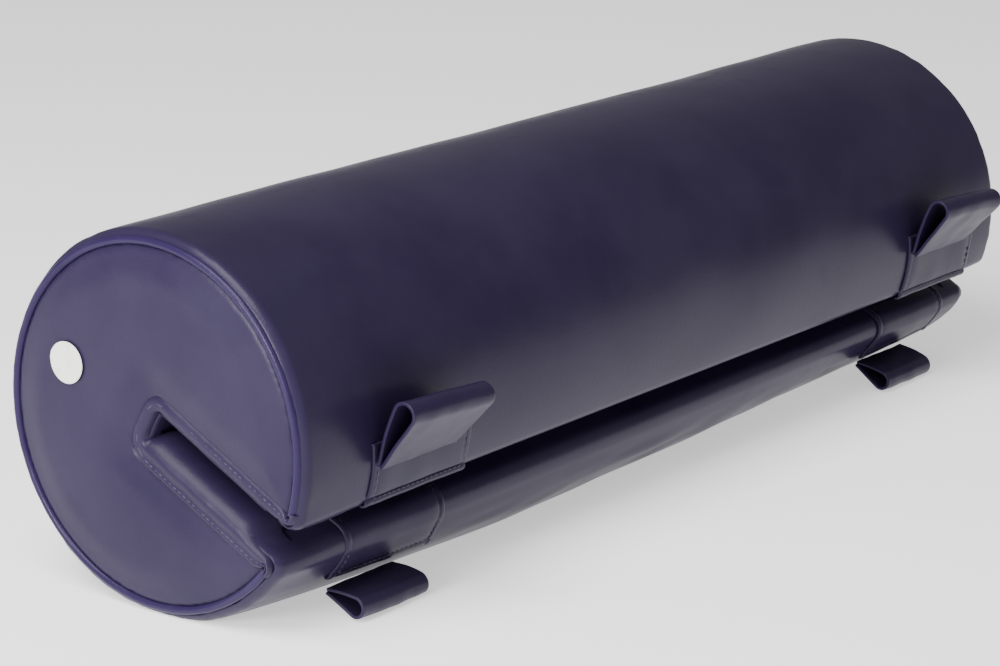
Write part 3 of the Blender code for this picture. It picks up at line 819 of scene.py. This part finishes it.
# %% Sew the ends
def end_line(end, aside_u, height):
    def curve(share):
        aside, _ = edge_section(share, aside_u)
        t, h = u_path(share, aside)
        return Vector((end * (END_PLANE + height), *to_world(t, h))), Vector((end, 0, 0))

    return curve


def rim_line(end, radius, x):
    def curve(share):
        angle = SLOT_DIR - WELT_START - 0.03 - share * (2 * math.pi - 2 * WELT_START - 0.06)
        out = Vector((0, math.cos(angle), math.sin(angle)))
        leaning = (out + Vector((end * 0.7, 0, 0))).normalized()
        return Vector((end * x, 0, AXIS_HEIGHT)) + out * radius, leaning

    return curve


for end, word in ((-1, "left"), (1, "right")):
    bm = bmesh.new()
    sewn = sew(bm, rim_line(end, 0.09705, 0.33385), 0.0034, 0.0010, 0.0009)
    sewn += sew(bm, end_line(end, 0.80, 0.0010), 0.0036, 0.0010, 0.0008)
    sewn += sew(bm, end_line(end, 0.93, -0.0002), 0.0036, 0.0010, 0.0008)
    stitches = keep("end_stitches_" + word, bm, seam_thread)
    print(stitches.name, round(sewn, 3), "m of sewing")

# %% [markdown]
# ## Patches
# A patch of vinyl is sewn over each lip to carry a loop. The lower patches wrap over the lip and down to
# a hem; the upper ones start at the lip with a turned hem that stands a little proud. A patch is thicker
# along its turned edges and is pulled in along its stitch lines, so the sheet is bent with a lift that
# depends on how near an edge it is.

# %% Where the patches and loops sit
PATCH_WIDTH, PATCH_WALL = 0.081, 0.0014
PATCH_MIDDLES = {"left": -0.2455, "right": 0.267}
UPPER_TOPS = {"left": 27.0, "right": 30.5}
UPPER_START, LOWER_START, LOWER_HEM = 0.0192, 0.0048, 20.9


def patch_lift(run, low, high, across, half, hems):
    """Height of a patch's face over the cover; hems are the edges that are turned under."""
    from_low, from_high, from_side = run - low, high - run, half - abs(across)
    lift = 0.0014 + 0.0005 * smooth(min(from_low, from_high, from_side) / 0.012)
    for distance, share in hems(from_low, from_high, from_side):
        lift += share * 0.0010 * (1 - smooth((distance - 0.0035) / 0.0015)) * smooth(distance / 0.0006 + 0.3)
        lift -= share * 0.0009 * math.exp(-((distance - 0.0050) / 0.0011) ** 2)
    edge = min(from_low, from_high, from_side)
    return lift - 0.0007 * (1 - smooth(edge / 0.0012))


def make_patch(side, word, low, high, hems):
    middle, half = PATCH_MIDDLES[word], PATCH_WIDTH / 2

    def place(u, v):
        run = low + (high - low) * u
        across = (2 * v - 1) * half
        bow = 0.0012 * math.sin(math.pi * u) * math.copysign(1, across) * smooth(abs(across) / half * 2 - 1)
        x = middle + across - bow
        lift = patch_lift(run, low, high, across, half, hems)
        lift += 0.00045 * grain(x, run, 6.0, 0.022, 3.0 + side) + dents(side, run, x)
        point = on_skin(side, run, x, lift)
        point.z = max(point.z, 0.0)
        return point

    return bent_grid(64, 96, place, flip=side < 0)


def upper_hems(from_low, from_high, from_side):
    return [(from_low, 1.2), (from_side, 0.10)]


def lower_hems(from_low, from_high, from_side):
    return [(from_high, 0.35), (from_side, 0.35)]


for word in ("left", "right"):
    upper = ("patch_upper_" + word, 1, UPPER_START, along_at(UPPER_TOPS[word]), upper_hems)
    lower = ("patch_lower_" + word, -1, LOWER_START, along_at(LOWER_HEM), lower_hems)
    for name, side, low, high, hems in (upper, lower):
        bm = make_patch(side, word, low, high, hems)
        patch = keep(name + "_skin", bm, strap_vinyl, stands_for=[name], thickness=PATCH_WALL)
print("patches", PATCH_WIDTH, "m wide")

# %% Sew the patches
SEAM_IN = 0.0050
for word in ("left", "right"):
    middle, half = PATCH_MIDDLES[word], PATCH_WIDTH / 2 - SEAM_IN
    bm = bmesh.new()
    lines = [(1, UPPER_START + SEAM_IN, UPPER_START + SEAM_IN, -half, half),
             (-1, along_at(LOWER_HEM) - SEAM_IN, along_at(LOWER_HEM) - SEAM_IN, -half, half)]
    for x in (-half, half):
        lines.append((1, UPPER_START + SEAM_IN, along_at(19.0), x, x))
        lines.append((-1, LOWER_START + 0.004, along_at(LOWER_HEM) - SEAM_IN, x, x))
    for side, start, stop, x_start, x_stop in lines:
        sew(bm, skin_line(side, lambda s: start + (stop - start) * s,
                          lambda s: middle + x_start + (x_stop - x_start) * s, 0.0016))
    stitches = keep("patch_stitches_" + word, bm, seam_thread)
    print(stitches.name, len(stitches.data.polygons), "faces")

# %% [markdown]
# ## Loops
# Each loop is a strap of doubled vinyl whose two ends are sewn together on the patch. The strap is stiff,
# so it stands off as a drop: the ends meet in a line and the fold stays open as a round. A strap is made
# directly: its middle line is drawn as a drop, carried along X with a little twist and spread, and given
# its thickness. The loop turns with its own body.

# %% The drop and the strap
def between(start, stop, part):
    """The point part of the way from start to stop."""
    return start[0] + (stop[0] - start[0]) * part, start[1] + (stop[1] - start[1]) * part


def drop(share, reach, bulb, root):
    """Along and up on a drop's outline; the outline starts and ends at the stitched line."""
    lean = math.asin((bulb - root) / reach)
    straight = math.sqrt(reach ** 2 - (bulb - root) ** 2)
    arc = bulb * (math.pi + 2 * lean)
    side = math.pi / 2 + lean
    base = root * math.cos(side), root * math.sin(side)
    tip = reach + bulb * math.cos(side), bulb * math.sin(side)
    run = share * (2 * straight + arc)
    if run < straight:
        along, up = between(base, tip, run / straight)
        return along, -up
    run -= straight
    if run < arc:
        turn = -side + run / bulb
        return reach + bulb * math.cos(turn), bulb * math.sin(turn)
    return between(tip, base, (run - arc) / straight)


STRAP, LOOP_ROOT = 0.0018, 0.0018


def loop_strap(pivot, angle, reach, width, bulb, seed):
    """A doubled strap in a drop, standing off at an angle from its joint's pivot."""
    def place(u, v):
        across = 2 * v - 1
        taper = 1 - 0.05 * smooth(across) + 0.02 * grain(across, 0, 0, 0.8, seed)
        along, up = drop(u, reach * (1 - 0.03 * smooth(across)), bulb * taper, LOOP_ROOT)
        up -= 0.0009 * math.sin(math.pi * min(u * 2.6, 1.0))
        turned = angle + 0.05 * across
        y = pivot[1] + along * math.cos(turned) - up * math.sin(turned)
        z = pivot[2] + along * math.sin(turned) + up * math.cos(turned)
        spread = 1 - 0.035 * smooth(1 - along / reach)
        x = pivot[0] + across * width / 2 * spread + 0.0004 * grain(u * 3, across, 0, 1.0, seed)
        ripple = 0.0003 * grain(x, along, up, 0.012, seed)
        return Vector((x, y + ripple, z + ripple))

    return bent_grid(84, 40, place)


# degrees from +Y towards +Z, reach, width and the size of the bulb
LOOPS = {
    "upper_left": (122.0, 0.034, 0.062, 0.0069),
    "upper_right": (122.0, 0.034, 0.062, 0.0069),
    "lower_left": (195.95, 0.020, 0.054, 0.0060),
    "lower_right": (205.52, 0.020, 0.054, 0.0060),
}
PIVOTS = {joint["child"]: joint.get("pos_m") for joint in frame["joints"]}

for seed, (word, (angle, reach, width, bulb)) in enumerate(LOOPS.items()):
    bm = loop_strap(PIVOTS["loop_" + word], math.radians(angle), reach, width, bulb, 11.0 + seed)
    bmesh.ops.recalc_face_normals(bm, faces=bm.faces)
    loop = keep("strap_loop_" + word, bm, strap_vinyl, "loop_" + word, ["loop_" + word], STRAP)
    modified(loop, "BEVEL", width=0.0004, segments=2, limit_method="ANGLE")
    print(loop.name, [round(side, 4) for side in loop.dimensions])

# %% [markdown]
# ## The zip
# A coil zip has two woven tapes. Each carries a nylon coil whose turns show as a row of close teeth, the
# two rows meshing in the middle. The teeth are small rounded bars, one for each turn, because a row of
# separate turns catches the light as a real coil does.

# %% A point on the zip
ZIP_ANGLE = math.radians(-25.0)
COIL_HALF = 0.3148


def on_zip(x, across, out):
    """x, across the zip (up along the skin) and out from the roll's axis."""
    y = out * math.cos(ZIP_ANGLE) - across * math.sin(ZIP_ANGLE)
    z = AXIS_HEIGHT + out * math.sin(ZIP_ANGLE) + across * math.cos(ZIP_ANGLE)
    return Vector((x, y, z))


INNER_RADIUS, TAPE_WIDTH = 0.0988, 0.014
TAPE_TOP = math.sqrt(INNER_RADIUS ** 2 - TAPE_WIDTH ** 2) - GAP
ZIP_ACROSS = on_zip(0, 1, 0) - on_zip(0, 0, 0)
ZIP_OUT = on_zip(0, 0, 1) - on_zip(0, 0, 0)
ZIP_TURN = Matrix((Vector((1, 0, 0)), ZIP_ACROSS, ZIP_OUT)).transposed().to_4x4()
print("tape's face at", round(TAPE_TOP, 5))


# %% Tapes and coils
def tape(side):
    def place(u, v):
        across = side * (GAP + u * 0.0136)
        ripple = 0.0001 * grain((2 * v - 1) * 0.33, across, 2.0 * side, 0.02)
        bead = 0.0003 * math.exp(-((u - 0.08) / 0.06) ** 2)
        return on_zip((2 * v - 1) * 0.3297, across, TAPE_TOP - 0.0001 + ripple * 0.5 - bead)

    return bent_grid(12, 260, place, flip=side < 0)


tooth_bead = bead_mesh(8, 5)
TOOTH_PITCH = 0.0021
# a turn is a long thin bar on its tape and a short thick head at the middle line: place across, reach,
# height and thickness
TOOTH_BARS = ((0.0015, 0.0013, 0.0012, 0.00075), (0.00055, 0.0006, 0.0010, 0.0011))


def coil(side):
    bm = bmesh.new()
    for i in range(int(2 * COIL_HALF / TOOTH_PITCH)):
        x = -COIL_HALF + 0.0008 + i * TOOTH_PITCH + (TOOTH_PITCH / 2 if side > 0 else 0.0)
        for middle, reach, height, thick in TOOTH_BARS:
            centre = on_zip(x, side * middle, TAPE_TOP + GAP + height * 0.9)
            sized = Matrix.Diagonal((thick, reach, height * 0.9, 1.0))
            stamp(bm, tooth_bead, Matrix.Translation(centre) @ ZIP_TURN @ sized)
    return bm


for side, word in ((1, "upper"), (-1, "lower")):
    cloth_tape = keep("zip_tape_" + word + "_cloth", tape(side), zip_cloth,
                      stands_for=["zip_tape_" + word], thickness=0.0006)
    row = keep("zip_teeth_" + word, coil(side), zip_nylon, stands_for=["zip_coil_" + word])
    print(row.name, len(row.data.polygons), "faces")

# %% Sew the zip in
bm = bmesh.new()
for side in (1, -1):
    sew(bm, skin_line(side, lambda s: LAST_ROWS[side] - 0.0022, lambda s: -0.322 + 0.644 * s, GAP))
stitches = keep("zip_stitches", bm, seam_thread)
print(stitches.name, len(stitches.data.polygons), "faces")


# %% Slider, pull and stops
def zip_block(x_low, x_high, half_across, out_low, out_high, bevel):
    bm = bmesh.new()
    bmesh.ops.create_cube(bm, size=1.0)
    for vert in bm.verts:
        vert.co = on_zip(x_high if vert.co.x > 0 else x_low, math.copysign(half_across, vert.co.y),
                         out_high if vert.co.z > 0 else out_low)
    bm.normal_update()
    bmesh.ops.recalc_face_normals(bm, faces=bm.faces)
    bmesh.ops.bevel(bm, geom=bm.edges, offset=bevel, segments=3, profile=0.5, affect="EDGES", material=-1)
    return bm


for end, word in ((-1, "left"), (1, "right")):
    near, far = sorted((end * 0.3151, end * 0.3181))
    block = zip_block(near, far, 0.0027, TAPE_TOP + GAP, TAPE_TOP + 0.0025, 0.0006)
    stop = keep("zip_end_stop_" + word, block, zip_nickel, stands_for=["zip_stop_" + word])

SLIDER_LOW, SLIDER_LENGTH = -0.3145, 0.012
SLIDER_TOP = TAPE_TOP + 0.0036


def slider_body():
    """A plate over the coils, pinched at one end, with a flange down each side."""
    bm = zip_block(SLIDER_LOW, SLIDER_LOW + SLIDER_LENGTH, 0.00425, TAPE_TOP + 0.0026, SLIDER_TOP, 0.00035)
    for side in (1, -1):
        flange = bmesh.ops.create_cube(bm, size=1.0)["verts"]
        for vert in flange:
            vert.co = on_zip(SLIDER_LOW + (0.0113 if vert.co.x > 0 else 0.0007),
                             side * (0.00415 if vert.co.y > 0 else 0.0033),
                             TAPE_TOP + (0.0028 if vert.co.z > 0 else 0.0004))
    for vert in bm.verts:
        share = (vert.co.x - SLIDER_LOW) / SLIDER_LENGTH
        across = (vert.co - on_zip(vert.co.x, 0.0, 1.0)).dot(ZIP_ACROSS)
        vert.co -= ZIP_ACROSS * across * 0.10 * smooth(share)
    bm.normal_update()
    bmesh.ops.recalc_face_normals(bm, faces=bm.faces)
    return bm


slider = keep("zip_slider_body", slider_body(), zip_nickel, "zip_slider", ["zip_slider"])


def in_hole(face):
    """True for the grid's cells that make the small hole at the slider and the large one at the free end."""
    centre = face.calc_center_median()
    return abs(centre.y) < 0.25 and (-0.46 < centre.x < -0.38 or 0.28 < centre.x < 0.40)


def pull_tab():
    """A flat tab, wider at its free end, cut from a grid."""
    bm = bmesh.new()
    bmesh.ops.create_grid(bm, x_segments=24, y_segments=8, size=0.5)
    start = SLIDER_LOW + SLIDER_LENGTH / 2
    bmesh.ops.delete(bm, geom=[face for face in bm.faces if in_hole(face)], context="FACES")
    for vert in bm.verts:
        run = vert.co.x + 0.5
        wide = 0.0024 * (0.72 + 0.28 * smooth(run / 0.5))
        round_end = math.sqrt(max(1 - max((run - 0.90) / 0.10, 0.0) ** 2, 0.04))
        vert.co = on_zip(start + run * 0.024, vert.co.y * 2 * wide * round_end, SLIDER_TOP + 0.0009)
    return bm


pull = keep("zip_pull_tab", pull_tab(), zip_nickel, "zip_pull", ["zip_pull"], 0.0010, 0.0)
modified(pull, "BEVEL", width=0.00025, segments=2, limit_method="ANGLE")
print("slider and pull at x", SLIDER_LOW)

# %% [markdown]
# ## Badge and foam
# A round paper badge is stuck on the left end. It is a very shallow dome with a rolled rim, one edge of
# it a little lifted. The foam core is inside the cover; its own solid is kept, with an open-cell finish.

# %% Badge
low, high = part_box("end_badge")
badge_middle = (low + high) / 2


def badge_disc():
    bm = bmesh.new()
    bmesh.ops.create_circle(bm, cap_ends=True, segments=64, radius=0.0110)
    middle = bm.faces[:]
    for inset in (0.0006, 0.0008, 0.0022, 0.0034):
        bmesh.ops.inset_individual(bm, faces=middle, thickness=inset, use_even_offset=True)
    for vert in bm.verts:
        radius = math.hypot(vert.co.x, vert.co.y)
        rim = smooth((radius - 0.0090) / 0.0020)
        height = 0.0003 - 0.0003 * rim * rim + 0.00008 * math.sin(radius * 900)
        lift = 0.0004 * smooth((vert.co.x + vert.co.y - 0.009) / 0.005)
        x = badge_middle.x + 0.0001 - height - lift
        vert.co = Vector((x, badge_middle.y + vert.co.x, badge_middle.z + vert.co.y))
    bm.normal_update()
    if sum(face.normal.x for face in bm.faces) > 0:
        bmesh.ops.reverse_faces(bm, faces=bm.faces)
    return bm


badge = keep("round_badge", badge_disc(), badge_paper, stands_for=["end_badge"], thickness=0.0004)

foam = frame["nodes"]["foam_core"]
foam.data.materials.clear()
foam.data.materials.append(open_foam)
print("badge at", [round(c, 3) for c in badge_middle])

# %% [markdown]
# ## Floor, light and camera
# The roll lies on a plain pale floor, lit by a wide soft light from above and a smaller one from the
# left, so that its satin skin picks up long soft reflections. The surround is dim, which keeps the navy
# deep, and the floor glows a little, which keeps it pale all the same.

# %% Floor and surround
FLOOR_SIZE, FLOOR_GLOW = 9.0, 0.8


def pale_floor():
    finish = Finish("pale_floor", 0.9, Specular_IOR_Level=0.1)
    patches = finish.clouds(0.7)
    tone = finish.mix(patches, rgb(0.90, 0.90, 0.90), rgb(0.94, 0.94, 0.94))
    finish.shader.inputs["Emission Strength"].default_value = FLOOR_GLOW
    return finish.paint(Base_Color=tone, Emission_Color=tone)


bm = bmesh.new()
bmesh.ops.create_grid(bm, x_segments=1, y_segments=1, size=FLOOR_SIZE)
floor_mesh = bpy.data.meshes.new("floor")
bm.to_mesh(floor_mesh)
bm.free()
floor_mesh.materials.append(pale_floor())
floor = bpy.data.objects.new("floor", floor_mesh)
bpy.context.scene.collection.objects.link(floor)

world = bpy.data.worlds.new("surround")
bpy.context.scene.world = world
world.use_nodes = True
background = world.node_tree.nodes["Background"]
background.inputs["Color"].default_value = rgb(1.0, 0.98, 1.0)
background.inputs["Strength"].default_value = 0.30


# %% Lights
def soft_light(name, power, size, place, target):
    light = bpy.data.lights.new(name, "AREA")
    light.energy, light.shape = power, "RECTANGLE"
    light.size, light.size_y = size
    obj = bpy.data.objects.new(name, light)
    obj.location = place
    obj.rotation_euler = (Vector(target) - Vector(place)).to_track_quat("-Z", "Y").to_euler()
    bpy.context.scene.collection.objects.link(obj)
    print(name, "light,", power, "W")


soft_light("overhead", 70.0, (1.3, 1.3), (-1.35, -0.15, 1.9), (-0.2, 0.0, 0.1))
soft_light("left", 38.0, (0.7, 0.5), (-1.9, -0.10, 0.62), (-0.34, 0, 0.1))

# %% Camera
camera_data = bpy.data.cameras.new("camera")
camera_data.lens = 118.47
camera_data.sensor_width = 36.0
camera = bpy.data.objects.new("camera", camera_data)
camera.location = (-1.4718, -1.0814, 0.5699)
camera.rotation_euler = (math.radians(74.791), 0.0, math.radians(-52.719))
bpy.context.scene.collection.objects.link(camera)
bpy.context.scene.camera = camera
print("camera", round(camera.location.length, 2), "m away")
